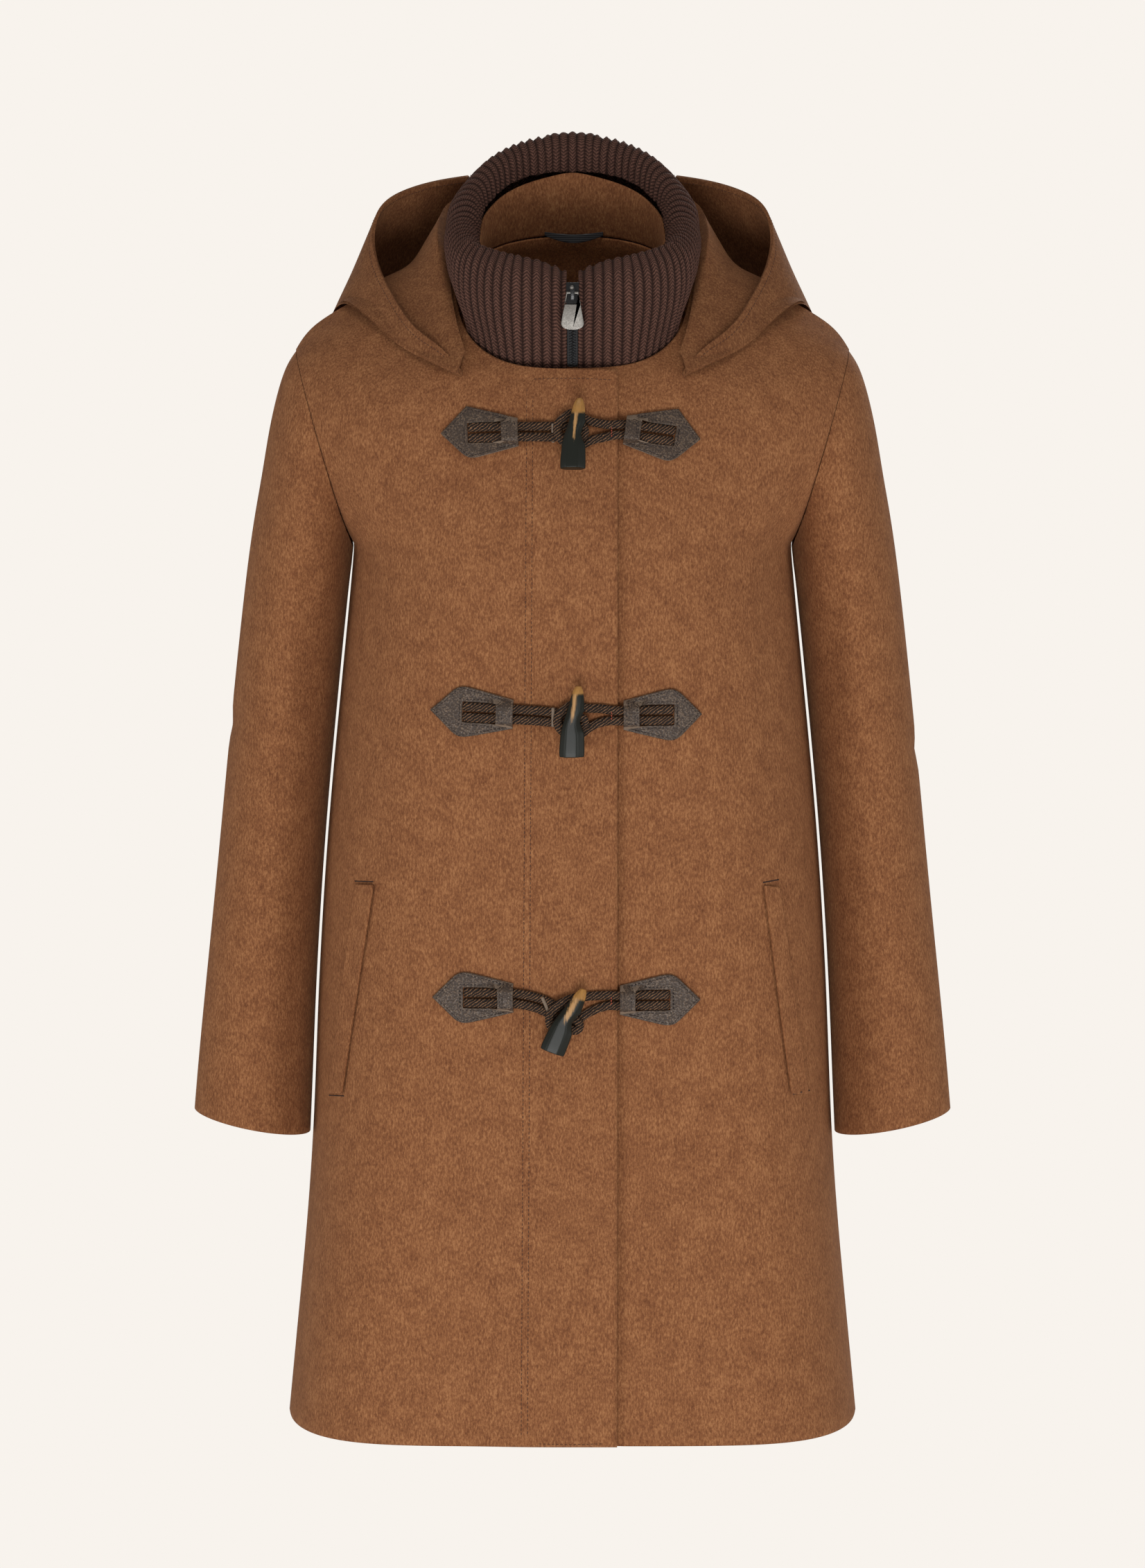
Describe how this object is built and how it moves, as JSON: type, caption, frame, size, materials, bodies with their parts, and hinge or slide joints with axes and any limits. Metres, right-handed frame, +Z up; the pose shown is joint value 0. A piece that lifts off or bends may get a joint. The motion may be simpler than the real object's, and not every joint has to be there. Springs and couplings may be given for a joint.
{
  "type": "duffle coat",
  "caption": "Knee-length wool duffle coat, filled out as worn: hood lying back, rib-knit collar with a zip, horn toggles on cords with leather patches, slanted pocket welts.",
  "frame": {"origin": "the middle of the neck at the height of the back neck seam, where a wearer's neck holds the coat", "axes": "+Z up along the coat, +X towards the wearer's left side, +Y towards the back; the front faces -Y"},
  "size_m": [0.5706, 0.3141, 0.97],
  "materials": {
    "wool": "brushed brown coating wool",
    "rib_knit": "dark brown rib knit",
    "leather": "grained dark brown leather",
    "cord": "twill-woven dark brown cord",
    "horn": "polished dark horn with tan streaks",
    "black_tape": "black woven tape",
    "black_metal": "black painted zinc",
    "silver_metal": "satin silver"
  },
  "bodies": {
    "coat": {"front_left": "wool", "front_right": "wool", "back": "wool", "sleeve_left": "wool", "sleeve_right": "wool", "hood_left": "wool", "hood_centre": "wool", "hood_right": "wool", "welt_left": "wool", "welt_right": "wool", "collar_stand": "wool", "neck_facing": "wool", "knit_collar": "rib_knit", "hanger_loop": "black_tape", "patch_right_1": "leather", "patch_left_1": "leather", "toggle_cord_1": "cord", "loop_cord_1": "cord", "toggle_1": "horn", "patch_right_2": "leather", "patch_left_2": "leather", "toggle_cord_2": "cord", "loop_cord_2": "cord", "toggle_2": "horn", "patch_right_3": "leather", "patch_left_3": "leather", "toggle_cord_3": "cord", "loop_cord_3": "cord", "toggle_3": "horn", "zip_tape_left": "black_tape", "zip_tape_right": "black_tape", "zip_slider": "black_metal"},
    "pull": {"zip_pull": "silver_metal"}
  },
  "joints": [
    {"name": "pull_swing", "type": "hinge", "parent": "coat", "child": "pull", "pos_m": [0, -0.1056, -0.034], "axis": [-1, 0, 0], "range_deg": [0, 150]}
  ]
}
